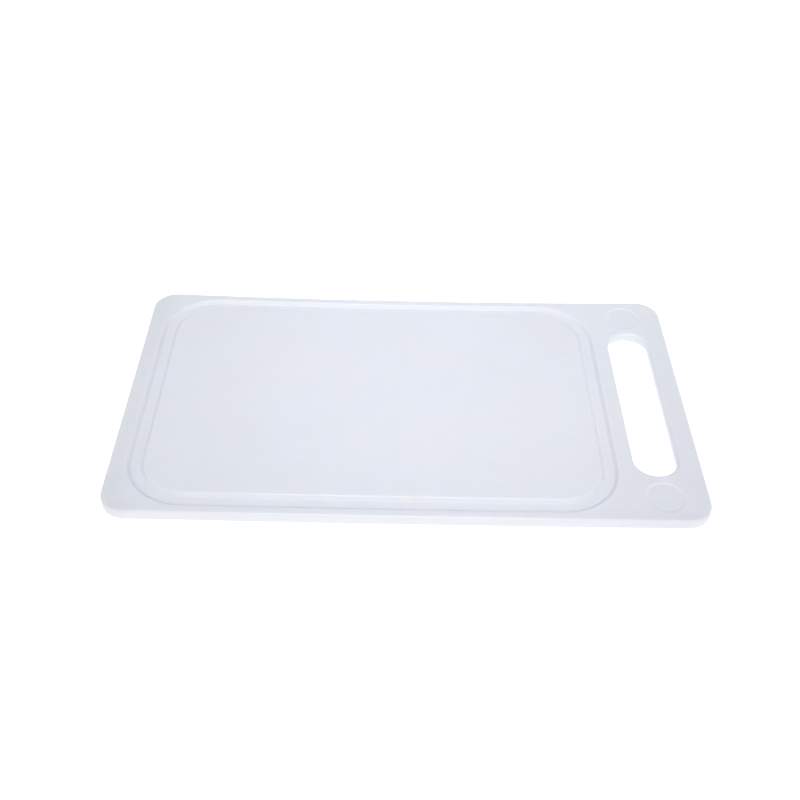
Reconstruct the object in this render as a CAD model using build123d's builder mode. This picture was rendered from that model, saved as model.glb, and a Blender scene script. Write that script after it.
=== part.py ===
from build123d import *
import os

# ---------------------------------------------------------------------------
# Moulded plastic cutting board with a juice groove, a hand slot and four soft
# feet.  Millimetres.  X runs along the board with the handle at +X, Y runs to
# the back, Z is up.  The origin is the middle of the footprint on the plane
# that the feet stand on.
# ---------------------------------------------------------------------------

# slab
BOARD_L = 350.0          # overall length, X
BOARD_W = 200.0          # overall width, Y
BOARD_T = 7.0            # slab thickness
CORNER_R = 15.0          # plan radius of the four corners
TOP_EDGE_R = 1.5         # rounding of the outer edge of the cutting face
UNDER_EDGE_R = 1.5       # rounding of the outer edge of the underside

# hand slot at the handle end
SLOT_X = 148.4           # centre line of the slot
SLOT_L = 129.5           # overall length, along Y
SLOT_W = 26.4            # width, along X
SLOT_TOP_R = 1.8         # rounding of the slot's upper rim
SLOT_UNDER_R = 3.0       # rounding of the slot's lower rim, where the fingers curl

# juice groove: flat floor, sloping walls, running round the cutting field
GROOVE_X0 = -159.7       # centre line, groove end
GROOVE_X1 = 120.3        # centre line, handle end
GROOVE_Y = 89.4          # centre line, half width
GROOVE_R = 30.5          # centre line corner radius
GROOVE_FLOOR = 6.0       # floor width
GROOVE_D = 1.9           # depth
GROOVE_WALL = 1.9        # plan width of each sloping wall
GROOVE_FOOT_R = 1.1      # rounding where wall meets floor
GROOVE_LIP_R = 1.2       # rounding where wall meets the top face
CUTTER_RISE = 0.5        # the groove cutter stands this far above the face

# feet: pad and waist, common to all four
FOOT_X = 149.0           # foot centres, from the middle
FOOT_Y = 82.0
FOOT_PROUD = 2.6         # height of the slab's underside above the table
FOOT_FIT = 0.1           # pad, waist and disc are this much smaller across than their holes
PAD_D = 22.3
PAD_SOCKET_D = PAD_D + FOOT_FIT      # counterbore in the underside
PAD_SOCKET_T = 1.5                   # counterbore depth
PAD_EDGE_R = 0.9
STEM_D = 11.9                        # waist of a foot
STEM_BORE_D = STEM_D + FOOT_FIT
TREAD_DIMPLE_D = 7.0     # hollow in the middle of each pad's underside
TREAD_RING_OUT = 16.4    # ring groove in each pad's underside, outer diameter
TREAD_RING_IN = 14.2     # and inner diameter
TREAD_H = 0.45           # depth of both hollow and ring groove

# upper disc of a through foot
HEAD_D = 20.5
HEAD_SOCKET_D = HEAD_D + FOOT_FIT    # round recess in the top face
HEAD_T = 2.0
HEAD_SINK = 0.36         # the disc lies this far below the top face
HEAD_EDGE_R = 0.1
HEAD_LIP_W = 1.4         # plan width of the shallow slope from the top face down to the disc

# snap ring of a blind foot
BLIND_BORE_H = 2.4       # how far the blind bore runs above the pad counterbore
STEM_END_GAP = 0.1       # between the foot's top and the closed end of the bore
BARB_D = 13.0            # retaining ring
BARB_T = 0.9
BARB_RIM_SHARE = 0.45    # share of the ring's thickness that is upright, below its taper
BARB_FIT = 0.2           # the undercut is this much wider and thicker than the ring
BARB_SOCKET_D = BARB_D + BARB_FIT
BARB_SOCKET_T = BARB_T + BARB_FIT
BARB_Z = 0.9             # start of the undercut above the pad counterbore's floor

# injection point on the underside
GATE_D = 10.0
GATE_H = 0.5
GATE_NUB_D = 2.2
GATE_NUB_H = 0.35

# margins of the boxes that pick out edges
PLAN_MARGIN = 0.1
LEVEL_MARGIN = 0.01

# derived levels
Z_UNDER = FOOT_PROUD                     # underside of the slab
Z_TOP = Z_UNDER + BOARD_T                # cutting face
Z_SOCKET = Z_UNDER + PAD_SOCKET_T        # floor of the pad counterbores
Z_HEAD_SEAT = Z_TOP - HEAD_SINK - HEAD_T # floor of the upper round recesses
Z_UNDERCUT = Z_SOCKET + BARB_Z           # lower face of the undercuts
Z_BLIND = Z_SOCKET + BLIND_BORE_H        # closed end of the blind bores

# foot centres, front (-Y) then rear (+Y)
THROUGH = [(FOOT_X, -FOOT_Y), (FOOT_X, FOOT_Y)]
BLIND = [(-FOOT_X, -FOOT_Y), (-FOOT_X, FOOT_Y)]


def make_board():
    """The slab with its slot, groove, foot sockets and injection point."""
    with BuildPart() as board:
        # slab outline
        with BuildSketch(Plane.XY.offset(Z_UNDER)):
            RectangleRounded(BOARD_L, BOARD_W, CORNER_R)
        extrude(amount=BOARD_T)
        fillet(board.edges().group_by(Axis.Z)[-1], TOP_EDGE_R)
        fillet(board.edges().group_by(Axis.Z)[0], UNDER_EDGE_R)

        # hand slot, right through, with both rims rounded
        with BuildSketch(Plane.XY.offset(Z_UNDER)):
            with Locations((SLOT_X, 0)):
                SlotOverall(SLOT_L, SLOT_W, rotation=90)
        extrude(amount=BOARD_T, mode=Mode.SUBTRACT)
        slot_reach_x = SLOT_W / 2 + PLAN_MARGIN
        slot_reach_y = SLOT_L / 2 + PLAN_MARGIN
        slot_levels = (
            board.edges()
            .filter_by_position(Axis.X, SLOT_X - slot_reach_x, SLOT_X + slot_reach_x)
            .filter_by_position(Axis.Y, -slot_reach_y, slot_reach_y)
            .group_by(Axis.Z)
        )
        # both rims are picked before either is rounded
        slot_under, slot_top = slot_levels[0], slot_levels[-1]
        fillet(slot_top, SLOT_TOP_R)
        fillet(slot_under, SLOT_UNDER_R)

        # juice groove path: anticlockwise from the middle of the front run and
        # back to it, with a corner arc after each of the first four straights
        groove_mid_x = (GROOVE_X0 + GROOVE_X1) / 2
        bend_x0, bend_x1 = GROOVE_X0 + GROOVE_R, GROOVE_X1 - GROOVE_R
        bend_y = GROOVE_Y - GROOVE_R
        straights = [
            ((groove_mid_x, -GROOVE_Y), (bend_x1, -GROOVE_Y)),
            ((GROOVE_X1, -bend_y), (GROOVE_X1, bend_y)),
            ((bend_x1, GROOVE_Y), (bend_x0, GROOVE_Y)),
            ((GROOVE_X0, bend_y), (GROOVE_X0, -bend_y)),
        ]
        with BuildLine(Plane.XY.offset(Z_TOP)) as groove_path:
            for start, end in straights:
                straight = Line(start, end)
                JernArc(start=straight @ 1, tangent=straight % 1, radius=GROOVE_R, arc_size=90)
            Line((bend_x0, -GROOVE_Y), (groove_mid_x, -GROOVE_Y))

        # one section, its walls carried on above the face, swept round the path
        section_plane = Plane(
            origin=(groove_mid_x, -GROOVE_Y, Z_TOP),
            x_dir=(0, 1, 0),
            z_dir=(1, 0, 0),
        )
        half_floor = GROOVE_FLOOR / 2
        half_lip = half_floor + GROOVE_WALL
        half_cutter = half_lip + GROOVE_WALL / GROOVE_D * CUTTER_RISE
        with BuildSketch(section_plane) as groove_section:
            with BuildLine():
                Polyline(
                    (-half_floor, -GROOVE_D),
                    (half_floor, -GROOVE_D),
                    (half_cutter, CUTTER_RISE),
                    (-half_cutter, CUTTER_RISE),
                    close=True,
                )
            make_face()
            fillet(groove_section.vertices().group_by(Axis.Y)[0], GROOVE_FOOT_R)
        sweep(path=groove_path.wire(), mode=Mode.SUBTRACT)
        lip_reach = half_lip + PLAN_MARGIN
        lip_edges = (
            board.edges()
            .filter_by_position(Axis.Z, Z_TOP - LEVEL_MARGIN, Z_TOP + LEVEL_MARGIN)
            .filter_by_position(Axis.X, GROOVE_X0 - lip_reach, GROOVE_X1 + lip_reach)
            .filter_by_position(Axis.Y, -GROOVE_Y - lip_reach, GROOVE_Y + lip_reach)
        )
        fillet(lip_edges, GROOVE_LIP_R)

        # round recesses for the upper discs, each with a shallow slope round its rim
        with BuildSketch(Plane.XY.offset(Z_TOP)):
            with Locations(*THROUGH):
                Circle(HEAD_SOCKET_D / 2)
        extrude(amount=-(HEAD_SINK + HEAD_T), mode=Mode.SUBTRACT)
        for x, y in THROUGH:
            with Locations((x, y, Z_TOP - HEAD_SINK / 2)):
                Cone(
                    HEAD_SOCKET_D / 2,
                    HEAD_SOCKET_D / 2 + HEAD_LIP_W,
                    HEAD_SINK,
                    mode=Mode.SUBTRACT,
                )

        # round holes cut upward: start level, centres, diameter, height
        foot_holes = [
            # pad counterbores
            (Z_UNDER, THROUGH + BLIND, PAD_SOCKET_D, PAD_SOCKET_T),
            # waist bores: through at the handle end, blind under the groove
            (Z_SOCKET, THROUGH, STEM_BORE_D, Z_HEAD_SEAT - Z_SOCKET),
            (Z_SOCKET, BLIND, STEM_BORE_D, BLIND_BORE_H),
            # undercuts for the retaining rings
            (Z_UNDERCUT, BLIND, BARB_SOCKET_D, BARB_SOCKET_T),
        ]
        for level, centres, diameter, height in foot_holes:
            with BuildSketch(Plane.XY.offset(level)):
                with Locations(*centres):
                    Circle(diameter / 2)
            extrude(amount=height, mode=Mode.SUBTRACT)

        # sunk injection point with its cut-off nub, in the middle of the underside
        with BuildSketch(Plane.XY.offset(Z_UNDER)):
            Circle(GATE_D / 2)
            Circle(GATE_NUB_D / 2, mode=Mode.SUBTRACT)
        extrude(amount=GATE_H, mode=Mode.SUBTRACT)
        with BuildSketch(Plane.XY.offset(Z_UNDER)):
            Circle(GATE_NUB_D / 2)
        extrude(amount=GATE_H - GATE_NUB_H, mode=Mode.SUBTRACT)
    return board.part


# Half outlines of the feet above the pad, as (radius, Z), from the waist
# upward and in to the foot's own axis.
def through_outline():
    """Waist with a flat disc above."""
    disc_top = Z_HEAD_SEAT + HEAD_T
    return [
        (STEM_D / 2, Z_HEAD_SEAT),
        (HEAD_D / 2, Z_HEAD_SEAT),
        (HEAD_D / 2, disc_top),
        (0, disc_top),
    ]


def blind_outline():
    """Waist with a snap ring, midway up its undercut and tapered at the top."""
    barb_base = Z_UNDERCUT + BARB_FIT / 2
    foot_top = Z_BLIND - STEM_END_GAP
    return [
        (STEM_D / 2, barb_base),
        (BARB_D / 2, barb_base),
        (BARB_D / 2, barb_base + BARB_T * BARB_RIM_SHARE),
        (STEM_D / 2, barb_base + BARB_T),
        (STEM_D / 2, foot_top),
        (0, foot_top),
    ]


def make_foot(centre, upper_outline, top_edge_r=None):
    """A foot turned about its own axis, its top edge rounded if a radius is given."""
    x, y = centre
    pad_outline = [
        (0, 0),
        (PAD_D / 2, 0),
        (PAD_D / 2, Z_SOCKET),
        (STEM_D / 2, Z_SOCKET),
    ]
    with BuildPart() as foot:
        with BuildSketch(Plane(origin=(x, y, 0), x_dir=(1, 0, 0), z_dir=(0, -1, 0))):
            with BuildLine():
                Polyline(*pad_outline, *upper_outline, close=True)
            make_face()
        revolve(axis=Axis((x, y, 0), (0, 0, 1)))
        fillet(foot.edges().group_by(Axis.Z)[0], PAD_EDGE_R)
        if top_edge_r is not None:
            fillet(foot.edges().group_by(Axis.Z)[-1], top_edge_r)

        # ring groove and middle hollow in the pad's underside
        with BuildSketch(Plane.XY):
            with Locations(centre):
                Circle(TREAD_RING_OUT / 2)
                Circle(TREAD_RING_IN / 2, mode=Mode.SUBTRACT)
                Circle(TREAD_DIMPLE_D / 2)
        extrude(amount=TREAD_H, mode=Mode.SUBTRACT)
    return foot.part


parts = {"board": make_board()}
for side, through_centre, blind_centre in zip(("front", "rear"), THROUGH, BLIND):
    parts[f"foot_{side}_right"] = make_foot(through_centre, through_outline(), HEAD_EDGE_R)
    parts[f"foot_{side}_left"] = make_foot(blind_centre, blind_outline())

os.makedirs("parts", exist_ok=True)
for name, part in parts.items():
    part.label = name
    export_step(part, f"parts/{name}.step")
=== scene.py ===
"""A moulded cutting board with a hand slot, a juice groove and four soft feet.

The board lies flat on z = 0: length along X with the hand slot at +X, width along Y, cutting
face up. The camera looks from the -Y side. Geometry is worked out in millimetres and turned
into metres when a mesh is made; materials, floor and lights are in metres.
"""
import math
from functools import partial

import bpy
import numpy as np
from mathutils import Matrix, Vector
from mathutils.geometry import delaunay_2d_cdt


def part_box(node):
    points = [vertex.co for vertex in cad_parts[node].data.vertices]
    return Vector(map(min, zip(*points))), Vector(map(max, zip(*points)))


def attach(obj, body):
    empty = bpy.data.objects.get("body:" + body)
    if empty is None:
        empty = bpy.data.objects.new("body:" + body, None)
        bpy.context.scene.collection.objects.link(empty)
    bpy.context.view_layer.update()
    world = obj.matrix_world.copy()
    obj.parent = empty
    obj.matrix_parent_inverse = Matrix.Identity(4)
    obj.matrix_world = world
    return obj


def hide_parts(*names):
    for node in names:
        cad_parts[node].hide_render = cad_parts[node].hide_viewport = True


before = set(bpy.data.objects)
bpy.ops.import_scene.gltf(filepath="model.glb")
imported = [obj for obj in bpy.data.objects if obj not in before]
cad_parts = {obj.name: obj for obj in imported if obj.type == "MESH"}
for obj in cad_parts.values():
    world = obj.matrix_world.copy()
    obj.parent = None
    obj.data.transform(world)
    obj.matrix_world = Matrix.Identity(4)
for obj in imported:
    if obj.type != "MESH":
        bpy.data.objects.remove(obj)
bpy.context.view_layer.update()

MM = 1000.0                       # millimetres in a metre
MESH_STEP = 3.0                   # point spacing along straight runs and across flat faces

# slab, from the CAD piece
board_low, board_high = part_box("board")
HALF_LENGTH = (board_high.x - board_low.x) * MM / 2
HALF_WIDTH = (board_high.y - board_low.y) * MM / 2
UNDERSIDE_Z = board_low.z * MM
FACE_Z = board_high.z * MM
CORNER_R = 15.0
TOP_EDGE_R = 1.5
UNDER_EDGE_R = 1.5
HOLE_EDGE_R = 0.14                # small rounding where round holes meet the underside

# sag of the slab at mid length, and how much that grows from the middle to the +Y edge
SAG_DEPTH = 1.75
SAG_SKEW = 0.75

# hand slot, lying along Y
SLOT_X = 148.4
SLOT_LENGTH = 129.5
SLOT_WIDTH = 26.4
SLOT_TOP_R = 1.8
SLOT_UNDER_R = 3.0

# juice groove: centre line, then cross-section
GROOVE_X_MIN = -159.7
GROOVE_X_MAX = 120.3
GROOVE_HALF_WIDTH = 89.4
GROOVE_CORNER_R = 30.5
GROOVE_FLOOR = 6.0
GROOVE_DEPTH = 1.9
GROOVE_WALL = 1.9                 # width taken by one sloping wall
GROOVE_FOOT_R = 1.1
GROOVE_LIP_R = 1.2

# holes for the feet
HEAD_R = 10.3                     # recess for a foot's disc in the cutting face
HEAD_SINK = 0.36                  # disc edge below the cutting face
HEAD_THICKNESS = 2.0
HEAD_LIP_WIDTH = 1.4              # soft slope from the face down to the disc
HEAD_LIP_EASE = 0.18              # part of that slope eased at each end
BORE_R = 6.0
PAD_SOCKET_R = 11.2
SOCKET_Z = UNDERSIDE_Z + 1.5      # ceiling of the pad sockets
SEAT_Z = FACE_Z - HEAD_SINK - HEAD_THICKNESS
BLIND_Z = SOCKET_Z + 2.4          # ceiling of the blind bores
UNDERCUT_R = 6.6
UNDERCUT_RISE = 0.9               # from the socket ceiling to the undercut
UNDERCUT_HEIGHT = 1.1

# injection point in the middle of the underside
GATE_R = 5.0
GATE_DEPTH = 0.5
NUB_R = 1.1
NUB_HEIGHT = 0.35

# feet
THROUGH_FEET = ["foot_front_right", "foot_rear_right"]
BLIND_FEET = ["foot_front_left", "foot_rear_left"]
FOOT_FIT = 0.05                   # radial play in socket and bore
PAD_R = PAD_SOCKET_R - FOOT_FIT
STEM_R = BORE_R - FOOT_FIT
PAD_EDGE_R = 0.9
PAD_SIDE_DROP = 0.1               # extra ring on the pad's side, this far below the slab
TREAD_DEPTH = 0.45                # depth of the dimple and of the ring groove
TREAD_EDGE_R = 0.12
DIMPLE_R = 3.5
DIMPLE_CENTRE_R = 1.6
DIMPLE_FILLET_R = 0.25
TREAD_INNER_R = 7.1
TREAD_OUTER_R = 8.2
DISC_R = HEAD_R - 0.004
DISC_EDGE_R = 0.02
DISC_DISH = 0.05
DISC_RINGS = (1.0, 0.93, 0.84, 0.74, 0.62, 0.49, 0.36, 0.23, 0.11)  # parts of the rim radius
SNAP_R = 6.5
SNAP_GAP = 0.1                    # play between snap ring and undercut
SNAP_LAND = 0.405                 # straight part of the snap ring
SNAP_HEIGHT = 0.9
SNAP_OUT, SNAP_UP = 0.67, 0.74    # normal of its sloping top
STEM_CENTRE_R = 2.0


def foot_centre(node):
    low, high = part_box(node)
    return (low.x + high.x) / 2 * MM, (low.y + high.y) / 2 * MM


def sag(x, y):
    """The slab hangs below its ends; the ends stay put, so the outside size stays the CAD's."""
    along, across = x / HALF_LENGTH, y / HALF_WIDTH
    return (SAG_DEPTH + SAG_SKEW * across) * (along * along - 1.0)


def sag_slope(x, y):
    along, across = x / HALF_LENGTH, y / HALF_WIDTH
    slope_x = (SAG_DEPTH + SAG_SKEW * across) * 2 * along / HALF_LENGTH
    return slope_x, SAG_SKEW / HALF_WIDTH * (along * along - 1.0)


# ------------------------------------------------------------------------------------------
# mesh builder
# ------------------------------------------------------------------------------------------
def inside(points, outline):
    """Even-odd test of all points against one closed outline."""
    x, y = points[:, 0], points[:, 1]
    result = np.zeros(len(points), bool)
    for (ax, ay), (bx, by) in zip(outline, np.roll(outline, -1, axis=0)):
        if ay == by:
            continue
        crosses = (ay > y) != (by > y)
        result ^= crosses & (x < (bx - ax) * (y - ay) / (by - ay) + ax)
    return result


def inside_region(points, outlines):
    """Inside the first outline and outside all the others."""
    result = inside(points, outlines[0])
    for hole in outlines[1:]:
        result &= ~inside(points, hole)
    return result


def distance(points, outline):
    """Distance of each point to a closed outline."""
    nearest = np.full(len(points), 1e9)
    for start, end in zip(outline, np.roll(outline, -1, axis=0)):
        edge = end - start
        along = np.clip(((points - start) @ edge) / max(float(edge @ edge), 1e-12), 0, 1)
        gap = np.linalg.norm(points - (start + along[:, None] * edge), axis=1)
        nearest = np.minimum(nearest, gap)
    return nearest


def lattice(low, high):
    """Even triangular lattice of points within a box."""
    (x_min, y_min), (x_max, y_max) = low, high
    rows = int((y_max - y_min) / (MESH_STEP * 0.866)) + 1
    row_gap = (y_max - y_min) / rows
    points = []
    for row in range(1, rows):
        shift = MESH_STEP / 2 if row % 2 else 0.0
        columns = np.arange(x_min + shift + MESH_STEP / 2, x_max, MESH_STEP)
        points += [(x, y_min + row * row_gap) for x in columns]
    return np.array(points)


class Builder:
    """Welded points, each with the true normals of the surfaces that meet in it."""

    def __init__(self):
        self.places, self.normals, self.faces, self.index = [], [], [], {}

    def point(self, x, y, z, normal):
        key = (round(x, 4), round(y, 4), round(z, 4))
        i = self.index.get(key)
        if i is None:
            i = self.index[key] = len(self.places)
            self.places.append((x, y, z))
            self.normals.append([])
        normal = np.array(normal, float)
        normal /= max(np.linalg.norm(normal), 1e-9)
        if not any(float(normal @ known) > 0.9995 for known in self.normals[i]):
            self.normals[i].append(normal)
        return i

    def loop(self, plan, z, out, up):
        """Points of one plan outline at a height; the normal is out in plan and up in z."""
        return [self.point(x, y, z, (out * ox, out * oy, up)) for x, y, ox, oy in plan]

    def stitch(self, first, second):
        for i in range(len(first)):
            j = (i + 1) % len(first)
            quad = [first[i], first[j], second[j], second[i]]
            face = [v for k, v in enumerate(quad) if v != quad[k - 1]]
            if len(face) >= 3:
                self.faces.append(face)

    def sweep(self, outline, profile):
        """Joins outline(size) at each profile row (size, z, normal out, normal up)."""
        loops = [self.loop(outline(size), z, out, up) for size, z, out, up in profile]
        for first, second in zip(loops, loops[1:]):
            self.stitch(first, second)
        return loops

    def fan(self, ring, centre, z, up):
        """Closes a ring with a middle point, facing up or down."""
        middle = self.point(*centre, z, (0, 0, 1 if up else -1))
        ring = ring if up else ring[::-1]
        for i in range(len(ring)):
            self.faces.append([ring[i], ring[(i + 1) % len(ring)], middle])

    def fill(self, outer, holes, z, up):
        """Triangulates a flat region between loops, with an even lattice inside."""
        normal = (0, 0, 1 if up else -1)
        rings = [outer] + holes
        outlines = [np.array([self.places[i][:2] for i in ring]) for ring in rings]
        ids = [i for ring in rings for i in ring]
        points, edges = [], []
        for outline in outlines:
            base, count = len(points), len(outline)
            points += [tuple(place) for place in outline]
            edges += [(base + i, base + (i + 1) % count) for i in range(count)]

        grid = lattice(outlines[0].min(0), outlines[0].max(0))
        grid = grid[inside_region(grid, outlines)]
        clear = np.ones(len(grid), bool)
        for outline in outlines:
            clear &= distance(grid, outline) > MESH_STEP * 0.55
        for place in grid[clear]:
            ids.append(self.point(place[0], place[1], z, normal))
            points.append(tuple(place))

        result = delaunay_2d_cdt([Vector(p) for p in points], edges, [], 0, 1e-7, True)
        corners, triangles, origins = result[0], result[2], result[3]
        back = [ids[origin[0]] for origin in origins]
        middles = np.array([(corners[i] + corners[j] + corners[k]) / 3 for i, j, k in triangles])
        for triangle, kept in zip(triangles, inside_region(middles, outlines)):
            if not kept:
                continue
            a, b, c = (corners[i] for i in triangle)
            area = (b.x - a.x) * (c.y - a.y) - (b.y - a.y) * (c.x - a.x)
            face = [back[i] for i in triangle]
            if (area > 0) != up:
                face.reverse()
            self.faces.append(face)
        # the loops belong to the flat face too, so they get its normal as well
        for ring in rings:
            for i in ring:
                self.point(*self.places[i], normal)

    def corner_normals(self, mesh, slope_x, slope_y):
        """For each face corner, the stored normal nearest its face, tilted by the sag."""
        chosen = []
        for polygon in mesh.polygons:
            flat = np.array(polygon.normal)
            for corner in polygon.loop_indices:
                i = mesh.loops[corner].vertex_index
                tilted = []
                for nx, ny, nz in self.normals[i]:
                    normal = np.array((nx - slope_x[i] * nz, ny - slope_y[i] * nz, nz))
                    tilted.append(normal / np.linalg.norm(normal))
                best = max(tilted, key=lambda normal: float(normal @ flat)) if tilted else flat
                if float(best @ flat) < 0.75:
                    best = flat
                chosen.append(tuple(best))
        return chosen

    def make_object(self, name, sag_weight=np.ones_like):
        """Sags the points and makes the object; sag_weight(z) is how far a point follows."""
        places = np.array(self.places, float)
        x, y = places[:, 0].copy(), places[:, 1].copy()
        weight = sag_weight(places[:, 2])
        slope_x, slope_y = sag_slope(x, y)
        places[:, 2] += sag(x, y) * weight
        mesh = bpy.data.meshes.new(name)
        mesh.from_pydata((places / MM).tolist(), [], self.faces)
        mesh.update()
        mesh.polygons.foreach_set("use_smooth", [True] * len(mesh.polygons))
        normals = self.corner_normals(mesh, slope_x * weight, slope_y * weight)
        mesh.normals_split_custom_set(normals)
        mesh.validate()
        return link_object(name, mesh)


def link_object(name, data):
    new_object = bpy.data.objects.new(name, data)
    bpy.context.scene.collection.objects.link(new_object)
    return new_object


# ------------------------------------------------------------------------------------------
# plan outlines, counter-clockwise rows of (x, y, outward x, outward y), and profile pieces,
# rows of (size, z, normal out, normal up)
# ------------------------------------------------------------------------------------------
def rounded_rect(centre_x, half_x, half_y, corner, grow):
    """Rectangle about y = 0; grow moves it outwards in parallel, point for point."""
    arc_steps = 26
    radius = corner + grow
    flat_x, flat_y = half_x - corner, half_y - corner
    steps_x = max(2, round(2 * flat_x / MESH_STEP))
    steps_y = max(2, round(2 * flat_y / MESH_STEP))
    plan = []

    def line(start_x, start_y, end_x, end_y, out_x, out_y, steps):
        for i in range(steps):
            part = i / steps
            x = centre_x + start_x + (end_x - start_x) * part
            plan.append((x, start_y + (end_y - start_y) * part, out_x, out_y))

    def bend(middle_x, middle_y, start):
        for i in range(arc_steps):
            angle = start + math.pi / 2 * i / arc_steps
            cos, sin = math.cos(angle), math.sin(angle)
            plan.append((centre_x + middle_x + radius * cos, middle_y + radius * sin, cos, sin))

    line(-flat_x, -half_y - grow, flat_x, -half_y - grow, 0, -1, steps_x)
    bend(flat_x, -flat_y, -math.pi / 2)
    line(half_x + grow, -flat_y, half_x + grow, flat_y, 1, 0, steps_y)
    bend(flat_x, flat_y, 0)
    line(flat_x, half_y + grow, -flat_x, half_y + grow, 0, 1, steps_x)
    bend(-flat_x, flat_y, math.pi / 2)
    line(-half_x - grow, flat_y, -half_x - grow, -flat_y, -1, 0, steps_y)
    bend(-flat_x, -flat_y, math.pi)
    return plan


def slot_outline(grow):
    """The hand slot, with full-round ends."""
    arc_steps = 44
    flat = SLOT_LENGTH / 2 - SLOT_WIDTH / 2
    line_steps = round(2 * flat / MESH_STEP)
    radius = SLOT_WIDTH / 2 + grow
    plan = []
    for side, start in ((1, math.pi), (-1, 0.0)):
        for i in range(arc_steps):
            angle = start + math.pi * i / arc_steps
            cos, sin = math.cos(angle), math.sin(angle)
            plan.append((SLOT_X + radius * cos, -side * flat + radius * sin, cos, sin))
        for i in range(line_steps):
            y = side * (-flat + 2 * flat * i / line_steps)
            plan.append((SLOT_X + side * radius, y, side, 0))
    return plan


def circle(centre, count, radius):
    plan = []
    for i in range(count):
        angle = 2 * math.pi * i / count
        cos, sin = math.cos(angle), math.sin(angle)
        plan.append((centre[0] + radius * cos, centre[1] + radius * sin, cos, sin))
    return plan


def quarter(steps):
    """(cosine, sine) at even steps over a right angle."""
    angles = [math.pi / 2 * i / steps for i in range(steps + 1)]
    return [(math.cos(angle), math.sin(angle)) for angle in angles]


def band(start, end, out, up):
    """Straight piece between two (size, z) places."""
    return [(*start, out, up), (*end, out, up)]


def arc(size, z, radius, start, end, steps, facing=1):
    """Arc about (size, z), angles in degrees, first point left out; facing -1 is hollow."""
    rows = []
    for i in range(1, steps + 1):
        angle = math.radians(start + (end - start) * i / steps)
        cos, sin = math.cos(angle), math.sin(angle)
        rows.append((size + radius * cos, z + radius * sin, facing * cos, facing * sin))
    return rows


def wall_heights(low, high):
    """The two heights that split a straight wall in three."""
    return np.linspace(low, high, 4)[1:-1]


def underside_flare(size, radius, steps):
    """Rounding where a hole opens into the underside."""
    return [(size + radius * (1 - cos), UNDERSIDE_Z + radius * (1 - sin), -cos, -sin)
            for cos, sin in quarter(steps)]


# ------------------------------------------------------------------------------------------
# the slab
# ------------------------------------------------------------------------------------------
def slab_rim(slab):
    """Outer shell, from the underside round the wall to the cutting face."""
    profile = [(-UNDER_EDGE_R * (1 - sin), UNDERSIDE_Z + UNDER_EDGE_R * (1 - cos), sin, -cos)
               for cos, sin in quarter(7)]
    profile += [(0, z, 1, 0)
                for z in wall_heights(UNDERSIDE_Z + UNDER_EDGE_R, FACE_Z - TOP_EDGE_R)]
    profile += [(-TOP_EDGE_R * (1 - cos), FACE_Z - TOP_EDGE_R * (1 - sin), cos, sin)
                for cos, sin in quarter(7)]
    outline = partial(rounded_rect, 0, HALF_LENGTH, HALF_WIDTH, CORNER_R)
    return slab.sweep(outline, profile)


def hand_slot(slab):
    """From the cutting face down the wall to the underside."""
    profile = [(SLOT_TOP_R * (1 - sin), FACE_Z - SLOT_TOP_R * (1 - cos), -sin, cos)
               for cos, sin in quarter(8)]
    profile += [(0, z, -1, 0)
                for z in wall_heights(FACE_Z - SLOT_TOP_R, UNDERSIDE_Z + SLOT_UNDER_R)]
    profile += underside_flare(0, SLOT_UNDER_R, 10)
    return slab.sweep(slot_outline, profile)


def juice_groove(slab):
    """Lip, sloping wall, foot and floor, and back up the other side, from outside to inside."""
    slope = math.atan2(GROOVE_DEPTH, GROOVE_WALL)
    lip_start = GROOVE_FLOOR / 2 + GROOVE_WALL + GROOVE_LIP_R * math.tan(slope / 2)
    foot_end = GROOVE_FLOOR / 2 - GROOVE_FOOT_R * math.tan(slope / 2)
    floor_z = FACE_Z - GROOVE_DEPTH
    side = []
    for i in range(8):
        angle = slope * i / 7
        cos, sin = math.cos(angle), math.sin(angle)
        side.append((lip_start - GROOVE_LIP_R * sin, FACE_Z - GROOVE_LIP_R * (1 - cos), -sin, cos))
    for i in range(7):
        angle = slope * (1 - i / 6)
        cos, sin = math.cos(angle), math.sin(angle)
        side.append((foot_end + GROOVE_FOOT_R * sin, floor_z + GROOVE_FOOT_R * (1 - cos),
                     -sin, cos))
    mirrored = [(-offset, z, -out, up) for offset, z, out, up in reversed(side)]
    outline = partial(rounded_rect, (GROOVE_X_MIN + GROOVE_X_MAX) / 2,
                      (GROOVE_X_MAX - GROOVE_X_MIN) / 2, GROOVE_HALF_WIDTH, GROOVE_CORNER_R)
    return slab.sweep(outline, side + [(0.0, floor_z, 0.0, 1.0)] + mirrored)


def head_lip():
    """Soft slope from the face down to the disc, eased at both ends."""
    ease = HEAD_LIP_EASE
    rows = []
    for i in range(15):
        along = i / 14
        end_gap = min(along, 1 - along)
        if end_gap < ease:
            fall = end_gap * end_gap / (2 * ease * (1 - ease))
            steepness = end_gap / (ease * (1 - ease))
        else:
            fall = (end_gap - ease / 2) / (1 - ease)
            steepness = 1 / (1 - ease)
        if along >= 0.5:
            fall = 1 - fall
        rows.append((HEAD_R + HEAD_LIP_WIDTH * (1 - along), FACE_Z - HEAD_SINK * fall,
                     -steepness * HEAD_SINK / HEAD_LIP_WIDTH, 1))
    return rows


def pad_socket(slab, outline):
    """Counterbore for a foot's pad; returns its loop in the underside."""
    slab.sweep(outline, band((BORE_R, SOCKET_Z), (PAD_SOCKET_R, SOCKET_Z), 0, -1))
    wall = [(PAD_SOCKET_R, SOCKET_Z, -1, 0)] + underside_flare(PAD_SOCKET_R, HOLE_EDGE_R, 3)
    return slab.sweep(outline, wall)[-1]


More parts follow.
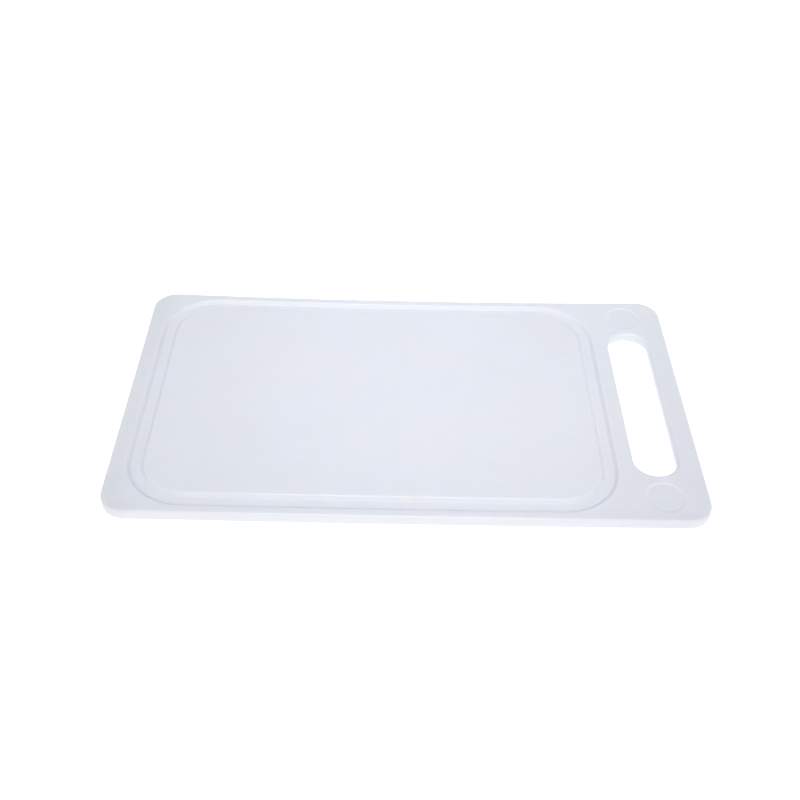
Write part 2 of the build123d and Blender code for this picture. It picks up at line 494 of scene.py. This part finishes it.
def through_hole(slab, node):
    """Recess, seat, bore and socket; returns the loops in the face and in the underside."""
    outline = partial(circle, foot_centre(node), 96)
    top = slab.sweep(outline, head_lip())[0]
    for piece in (
        band((HEAD_R, FACE_Z - HEAD_SINK), (HEAD_R, SEAT_Z), -1, 0),
        band((HEAD_R, SEAT_Z), (BORE_R, SEAT_Z), 0, 1),
        band((BORE_R, SEAT_Z), (BORE_R, SOCKET_Z), -1, 0),
    ):
        slab.sweep(outline, piece)
    return top, pad_socket(slab, outline)


def blind_hole(slab, node):
    """Closed bore with an undercut, and its socket; returns the loop in the underside."""
    centre = foot_centre(node)
    outline = partial(circle, centre, 96)
    ceiling = slab.loop(outline(BORE_R), BLIND_Z, 0, -1)
    middle = slab.loop(outline(BORE_R * 0.5), BLIND_Z, 0, -1)
    slab.stitch(middle, ceiling)
    slab.fan(middle, centre, BLIND_Z, up=False)
    low = SOCKET_Z + UNDERCUT_RISE
    high = low + UNDERCUT_HEIGHT
    for piece in (
        band((BORE_R, BLIND_Z), (BORE_R, high), -1, 0),
        band((BORE_R, high), (UNDERCUT_R, high), 0, -1),
        band((UNDERCUT_R, high), (UNDERCUT_R, low), -1, 0),
        band((UNDERCUT_R, low), (BORE_R, low), 0, 1),
        band((BORE_R, low), (BORE_R, SOCKET_Z), -1, 0),
    ):
        slab.sweep(outline, piece)
    return pad_socket(slab, outline)


def gate_recess(slab):
    """Sunk injection point with its cut-off nub; returns the loop in the underside."""
    centre = (0, 0)
    outline = partial(circle, centre, 64)
    ceiling = UNDERSIDE_Z + GATE_DEPTH
    tip = ceiling - NUB_HEIGHT
    slab.fan(slab.loop(outline(NUB_R), tip, 0, -1), centre, tip, up=False)
    slab.sweep(outline, band((NUB_R, tip), (NUB_R, ceiling), 1, 0))
    slab.sweep(outline, band((NUB_R, ceiling), (GATE_R, ceiling), 0, -1))
    wall = [(GATE_R, ceiling, -1, 0)] + underside_flare(GATE_R, HOLE_EDGE_R, 3)
    return slab.sweep(outline, wall)[-1]


def build_board():
    slab = Builder()
    rim = slab_rim(slab)
    slot = hand_slot(slab)
    groove = juice_groove(slab)
    face_holes, under_holes = [groove[0], slot[0]], [slot[-1]]
    for node in THROUGH_FEET:
        top, under = through_hole(slab, node)
        face_holes.append(top)
        under_holes.append(under)
    for node in BLIND_FEET:
        under_holes.append(blind_hole(slab, node))
    under_holes.append(gate_recess(slab))

    # the field inside the groove, the margin around it, and the underside
    slab.fill(groove[-1], [], FACE_Z, up=True)
    slab.fill(rim[-1], face_holes, FACE_Z, up=True)
    slab.fill(rim[0], under_holes, UNDERSIDE_Z, up=False)

    board = slab.make_object("board_slab")
    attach(board, "root")
    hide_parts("board")
    return board


# ------------------------------------------------------------------------------------------
# the feet: turned pads with a tread ring, a stem, and a flat disc or a snap ring above
# ------------------------------------------------------------------------------------------
def pad_pieces():
    """Tread from the dimple outwards, then the pad's side and its top."""
    fillet_r = DIMPLE_R - DIMPLE_FILLET_R
    fillet_z = TREAD_DEPTH - DIMPLE_FILLET_R
    edge = TREAD_EDGE_R
    return [
        band((DIMPLE_CENTRE_R, TREAD_DEPTH), (fillet_r, TREAD_DEPTH), 0, -1),
        [(fillet_r, TREAD_DEPTH, 0, -1)]
        + arc(fillet_r, fillet_z, DIMPLE_FILLET_R, 90, 0, 4, facing=-1),
        band((DIMPLE_R, fillet_z), (DIMPLE_R, edge), -1, 0)
        + arc(DIMPLE_R + edge, edge, edge, 180, 270, 3),
        band((DIMPLE_R + edge, 0), (TREAD_INNER_R - edge, 0), 0, -1)
        + arc(TREAD_INNER_R - edge, edge, edge, 270, 360, 3),
        band((TREAD_INNER_R, edge), (TREAD_INNER_R, TREAD_DEPTH), 1, 0),
        band((TREAD_INNER_R, TREAD_DEPTH), (TREAD_OUTER_R, TREAD_DEPTH), 0, -1),
        band((TREAD_OUTER_R, TREAD_DEPTH), (TREAD_OUTER_R, edge), -1, 0)
        + arc(TREAD_OUTER_R + edge, edge, edge, 180, 270, 3),
        band((TREAD_OUTER_R + edge, 0), (PAD_R - PAD_EDGE_R, 0), 0, -1)
        + arc(PAD_R - PAD_EDGE_R, PAD_EDGE_R, PAD_EDGE_R, 270, 360, 7)
        + band((PAD_R, UNDERSIDE_Z - PAD_SIDE_DROP), (PAD_R, SOCKET_Z), 1, 0),
        band((PAD_R, SOCKET_Z), (STEM_R, SOCKET_Z), 0, 1),
    ]


def disc_pieces(top):
    """Stem and flat disc, whose face is very slightly dished."""
    rim = DISC_R - DISC_EDGE_R
    face = []
    for part in DISC_RINGS:
        radius = rim * part
        depth = 1 - (radius / rim) ** 2
        face.append((radius, top - DISC_DISH * depth * depth,
                     -DISC_DISH * 4 * depth * (radius / rim ** 2), 1))
    return [
        band((STEM_R, SOCKET_Z), (STEM_R, SEAT_Z), 1, 0),
        band((STEM_R, SEAT_Z), (DISC_R, SEAT_Z), 0, -1),
        band((DISC_R, SEAT_Z), (DISC_R, top - DISC_EDGE_R), 1, 0)
        + arc(rim, top - DISC_EDGE_R, DISC_EDGE_R, 0, 90, 3),
        face,
    ]


def snap_pieces(top):
    """Stem with the snap ring that sits in the undercut."""
    low = SOCKET_Z + UNDERCUT_RISE + SNAP_GAP
    land = low + SNAP_LAND
    high = low + SNAP_HEIGHT
    return [
        band((STEM_R, SOCKET_Z), (STEM_R, low), 1, 0),
        band((STEM_R, low), (SNAP_R, low), 0, -1),
        band((SNAP_R, low), (SNAP_R, land), 1, 0),
        band((SNAP_R, land), (STEM_R, high), SNAP_OUT, SNAP_UP),
        band((STEM_R, high), (STEM_R, top), 1, 0),
        band((STEM_R, top), (STEM_CENTRE_R, top), 0, 1),
    ]


def build_foot(node, through):
    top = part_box(node)[1].z * MM
    centre = foot_centre(node)
    outline = partial(circle, centre, 128 if through else 96)
    foot = Builder()
    dimple = foot.loop(outline(DIMPLE_CENTRE_R), TREAD_DEPTH, 0, -1)
    foot.fan(dimple, centre, TREAD_DEPTH, up=False)
    for piece in pad_pieces() + (disc_pieces(top) if through else snap_pieces(top)):
        loops = foot.sweep(outline, piece)
    foot.fan(loops[-1], centre, top - DISC_DISH if through else top, up=True)

    # the tread stays flat on the floor, and what is inside the slab follows its sag
    foot_object = foot.make_object(node + "_tpe", lambda z: np.clip(z / UNDERSIDE_Z, 0, 1))
    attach(foot_object, "root")
    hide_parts(node)
    return foot_object


# ------------------------------------------------------------------------------------------
# materials
# ------------------------------------------------------------------------------------------
class Shader:
    """Short-hand for building one node tree; values may be numbers or sockets."""

    def __init__(self, owner):
        owner.use_nodes = True
        self.tree = owner.node_tree
        self.tree.nodes.clear()

    def add(self, kind, inputs=None, **settings):
        node = self.tree.nodes.new("ShaderNode" + kind)
        for key, value in settings.items():
            setattr(node, key, value)
        for key, value in (inputs or {}).items():
            if isinstance(value, bpy.types.NodeSocket):
                self.tree.links.new(value, node.inputs[key])
            else:
                node.inputs[key].default_value = value
        return node

    def math(self, operation, *values):
        return self.add("Math", dict(enumerate(values)), operation=operation).outputs[0]

    def total(self, first, *others):
        for other in others:
            first = self.math("ADD", first, other)
        return first

    def times(self, value, by):
        return self.math("MULTIPLY", value, by)

    def noise(self, vector, scale, detail=2.0, roughness=0.5, distortion=0.0):
        inputs = {"Scale": scale, "Detail": detail, "Roughness": roughness,
                  "Distortion": distortion, "Vector": vector}
        return self.add("TexNoise", inputs).outputs["Fac"]

    def mix(self, factor, first, second):
        return self.add("Mix", {0: factor, 6: first, 7: second}, data_type="RGBA").outputs[2]

    def span(self, value, over, to=(0.0, 1.0), **settings):
        """Maps the range over onto the range to, held at both ends."""
        inputs = dict(enumerate((value, *over, *to)))
        return self.add("MapRange", inputs, **settings).outputs[0]

    def vary(self, noise, low, high):
        """Spreads the useful middle of a noise over low to high."""
        return self.span(noise, over=(0.3, 0.7), to=(low, high))

    def scale(self, colour, factor):
        inputs = {0: colour, "Scale": factor}
        return self.add("VectorMath", inputs, operation="SCALE").outputs[0]

    def bump(self, height, strength, distance):
        inputs = {"Strength": strength, "Distance": distance, "Height": height}
        return self.add("Bump", inputs).outputs[0]

    def object_position(self):
        return self.add("TexCoord").outputs["Object"]

    def camera_ray(self):
        return self.add("LightPath").outputs["Is Camera Ray"]

    def surface(self, inputs):
        self.add("OutputMaterial", {0: self.add("BsdfPrincipled", inputs).outputs[0]})


def flow_lines(shader, x, y):
    """Faint lines that run outwards from the injection point."""
    radius = shader.math("SQRT", shader.total(shader.times(x, by=x), shader.times(y, by=y)))
    angle = shader.math("ARCTAN2", y, x)
    vector = shader.add("CombineXYZ", {
        "X": shader.times(shader.math("COSINE", angle), by=9.0),
        "Y": shader.times(shader.math("SINE", angle), by=9.0),
        "Z": shader.times(radius, by=12.0),
    })
    return shader.noise(vector.outputs[0], scale=1.6, detail=5.0, roughness=0.6)


def away_from_discs(shader, x, y):
    """0 at the two discs in the cutting face, 1 clear of them."""
    plan = shader.add("CombineXYZ", {"X": x, "Y": y}).outputs[0]
    clear = 1.0
    for node in THROUGH_FEET:
        disc_x, disc_y = foot_centre(node)
        inputs = {0: plan, 1: (disc_x / MM, disc_y / MM, 0.0)}
        gap = shader.add("VectorMath", inputs, operation="DISTANCE").outputs["Value"]
        clear = shader.times(shader.span(gap, over=(0.0115, 0.0155)), by=clear)
    return clear


def board_material():
    """Pale satin polyethylene."""
    cool = (0.722, 0.774, 0.864, 1.0)
    rosy = (0.738, 0.770, 0.854, 1.0)
    violet = (0.731, 0.758, 0.859, 1.0)

    material = bpy.data.materials.new("board_polyethylene")
    shader = Shader(material)
    span, noise, times, vary = shader.span, shader.noise, shader.times, shader.vary
    position = shader.object_position()
    x, y, _ = shader.add("SeparateXYZ", {0: position}).outputs
    flow = flow_lines(shader, x, y)
    cloud = noise(position, scale=14.0, detail=3.0, roughness=0.55)
    mottle = noise(position, scale=95.0, detail=4.0, roughness=0.6)
    tint = noise(position, scale=22.0, distortion=0.4)

    # colour: two cloudy tints, with violet towards the +X, -Y corner
    base = shader.mix(span(tint, over=(0.38, 0.62)), cool, rosy)
    blush = times(span(x, over=(0.125, 0.16)), by=span(y, over=(0.03, -0.05)))
    base = shader.mix(times(blush, by=0.8), base, violet)

    # painted light and shade over the plastic's own mottle: painted light along +Y and by the +Y
    # end of the handle, painted shade by its -Y end, at the -X end and along the -Y margin
    handle = span(x, over=(0.08, 0.125))
    gain = shader.total(
        vary(cloud, low=-0.010, high=0.010),
        vary(mottle, low=-0.006, high=0.006),
        vary(flow, low=-0.006, high=0.006),
        # from here on, painted light and shade rather than the plastic's colour
        span(y, over=(0.06, 0.09), to=(0.0, 0.018)),
        times(handle, by=span(y, over=(0.02, 0.06), to=(0.0, 0.016))),
        times(handle, by=span(y, over=(-0.04, -0.07), to=(0.0, -0.012))),
        span(x, over=(-0.155, -0.168), to=(0.0, -0.030)),
        span(y, over=(-0.091, -0.096), to=(0.0, -0.018)),
        1.0,
    )

    # satin skin: a fine grain, slightly polished on the rims
    pointiness = shader.add("NewGeometry").outputs["Pointiness"]
    polish = times(span(pointiness, over=(0.5, 0.56)), by=0.08)
    grain = noise(position, scale=1500.0, roughness=0.6)
    roughness = shader.total(vary(mottle, low=0.30, high=0.38), vary(grain, low=-0.03, high=0.03))
    roughness = shader.math("SUBTRACT", roughness, polish)
    ripple = noise(position, scale=420.0)
    height = shader.total(times(grain, by=0.55), times(ripple, by=0.9), times(flow, by=0.6))

    # light does not cross into the feet, so scatter dies out and the finish dulls at the discs
    clear = away_from_discs(shader, x, y)
    dulling = times(shader.math("SUBTRACT", 1.0, clear), by=0.12)
    shader.surface({
        "Base Color": shader.scale(base, gain),
        "Roughness": shader.total(roughness, dulling),
        "Normal": shader.bump(height, strength=0.35, distance=0.00006),
        "IOR": 1.5,
        "Specular IOR Level": shader.total(0.5, times(clear, by=0.25)),
        "Subsurface Weight": times(clear, by=0.35),
        "Subsurface Radius": (1.0, 0.95, 0.85),
        "Subsurface Scale": 0.0022,
    })
    return material


def foot_material():
    """Matt elastomer, close to the board in colour."""
    cool = (0.716, 0.763, 0.860, 1.0)
    rosy = (0.728, 0.758, 0.851, 1.0)

    material = bpy.data.materials.new("foot_elastomer")
    shader = Shader(material)
    position = shader.object_position()
    mottle = shader.noise(position, scale=140.0, detail=4.0, roughness=0.6)
    fine = shader.noise(position, scale=1900.0, roughness=0.6)
    tint = shader.noise(position, scale=60.0)
    base = shader.mix(shader.span(tint, over=(0.35, 0.65)), cool, rosy)

    # the feet at -Y are a little darker
    place = shader.add("NewGeometry").outputs["Position"]
    y = shader.add("SeparateXYZ", {0: place}).outputs[1]
    front_feet_darker = shader.span(y, over=(0.03, -0.03), to=(1.0, 0.97))
    gain = shader.total(shader.vary(mottle, low=-0.012, high=0.012), front_feet_darker)
    height = shader.total(shader.times(fine, by=0.7), shader.times(mottle, by=0.8))
    shader.surface({
        "Base Color": shader.scale(base, gain),
        "Roughness": shader.total(shader.vary(mottle, low=0.56, high=0.66),
                                  shader.vary(fine, low=-0.03, high=0.03)),
        "Normal": shader.bump(height, strength=0.4, distance=0.00005),
        "Specular IOR Level": 0.32,
    })
    return material


# ------------------------------------------------------------------------------------------
# studio: a pale floor, one soft box overhead, and a soft surround strongest from -Y
# ------------------------------------------------------------------------------------------
WHITE = (1.0, 1.0, 1.0, 1.0)
WARM = (1.147, 1.0, 0.850, 1.0)
COLD = (0.969, 1.0, 1.027, 1.0)


def floor_material():
    material = bpy.data.materials.new("floor_paper")
    shader = Shader(material)
    position = shader.object_position()
    paper = shader.noise(position, scale=3.0, detail=3.0)
    away = shader.add("VectorMath", {0: position}, operation="LENGTH").outputs["Value"]
    fade, brighten = (
        shader.span(away, over=(0.22, 0.75), to=(1.0, end), interpolation_type="SMOOTHSTEP")
        for end in (0.0, 1.9)
    )
    # the light sent up to the board fades with distance; what the camera sees stays white
    seen = shader.camera_ray()
    unseen = shader.math("SUBTRACT", 1.0, seen)
    sent_up = shader.times(shader.times(fade, by=0.445), by=unseen)
    shown = shader.times(shader.times(brighten, by=0.53), by=seen)
    shader.surface({
        "Base Color": shader.mix(paper, (0.79, 0.79, 0.79, 1.0), (0.81, 0.81, 0.81, 1.0)),
        "Roughness": 0.9,
        "Specular IOR Level": 0.1,
        "Emission Color": shader.mix(seen, COLD, WHITE),
        "Emission Strength": shader.total(sent_up, shown),
    })
    return material


def build_floor():
    half = 12.0
    z = -0.00003                  # just below the feet
    mesh = bpy.data.meshes.new("floor")
    corners = [(-half, -half, z), (half, -half, z), (half, half, z), (-half, half, z)]
    mesh.from_pydata(corners, [], [(0, 1, 2, 3)])
    floor = link_object("floor", mesh)
    mesh.materials.append(floor_material())


def build_soft_box():
    """Square lamp above the board, pointing straight down."""
    lamp = bpy.data.lights.new("overhead_box", "AREA")
    lamp.shape = "SQUARE"
    lamp.size = 0.45
    lamp.spread = math.radians(40)
    lamp.energy = 0.309
    soft_box = link_object("overhead_box", lamp)
    soft_box.location = (0.004, 0.03, 0.9)
    soft_box.visible_camera = False


def build_world():
    """Broad soft sources that light the board; the camera itself sees plain white."""
    diagonal = math.sqrt(0.5)
    # each group: colour, then (direction, strength) of its sources
    groups = (
        (WARM, (((0, -diagonal, diagonal), 0.024), ((0, -1, 0), 1.23))),
        (WHITE, (((diagonal, 0, diagonal), 0.795), ((-diagonal, 0, diagonal), 0.681),
                 ((0, 1, 0), 0.08))),
    )
    world = bpy.data.worlds.new("studio")
    bpy.context.scene.world = world
    shader = Shader(world)
    ray = shader.add("TexCoord").outputs["Generated"]

    def lobe(direction, strength):
        """Strongest along the direction, gone at right angles to it."""
        dot = shader.add("VectorMath", {0: ray, 1: direction}, operation="DOT_PRODUCT")
        facing = shader.math("MAXIMUM", dot.outputs["Value"], 0.0)
        return shader.times(shader.math("POWER", facing, 2.0), by=strength)

    def background(colour, strength):
        return shader.add("Background", {"Color": colour, "Strength": strength}).outputs[0]

    warm, white = (
        background(colour, shader.total(*(lobe(*source) for source in sources)))
        for colour, sources in groups
    )
    both = shader.add("AddShader", {0: warm, 1: white}).outputs[0]
    inputs = {0: shader.camera_ray(), 1: both, 2: background(WHITE, 1.0)}
    shader.add("OutputWorld", {0: shader.add("MixShader", inputs).outputs[0]})


def build_camera():
    """Camera placed by its angles and by where the middle of the cutting face lies from it."""
    pitch, yaw, roll = 0.7579, 0.0150, 0.0297                   # radians
    face_from_camera = np.array([4.5994, -3.4259, 641.908])     # mm right, down and ahead
    tilt = np.array([
        [1, 0, 0],
        [0, -math.sin(pitch), -math.cos(pitch)],
        [0, math.cos(pitch), -math.sin(pitch)],
    ])

    def turn(angle):
        cos, sin = math.cos(angle), math.sin(angle)
        return np.array([[cos, -sin, 0], [sin, cos, 0], [0, 0, 1]])

    axes = turn(roll) @ tilt @ turn(yaw)                        # rows: right, down, ahead
    eye = (-axes.T @ face_from_camera + np.array([0, 0, FACE_Z])) / MM
    lens = bpy.data.cameras.new("camera")
    lens.sensor_width = 36.0
    lens.lens = 45.6417
    lens.clip_start = 0.01
    lens.clip_end = 60.0
    camera = link_object("camera", lens)
    # Blender's camera has up and backwards as its second and third axes
    rotation = Matrix((axes.T * (1, -1, -1)).tolist())
    camera.matrix_world = Matrix.Translation(Vector(eye)) @ rotation.to_4x4()
    bpy.context.scene.camera = camera


board = build_board()
feet = [build_foot(node, through=True) for node in THROUGH_FEET]
feet += [build_foot(node, through=False) for node in BLIND_FEET]
board.data.materials.append(board_material())
rubber = foot_material()
for foot in feet:
    foot.data.materials.append(rubber)
build_floor()
build_soft_box()
build_world()
build_camera()
bpy.context.scene.view_settings.view_transform = "Standard"
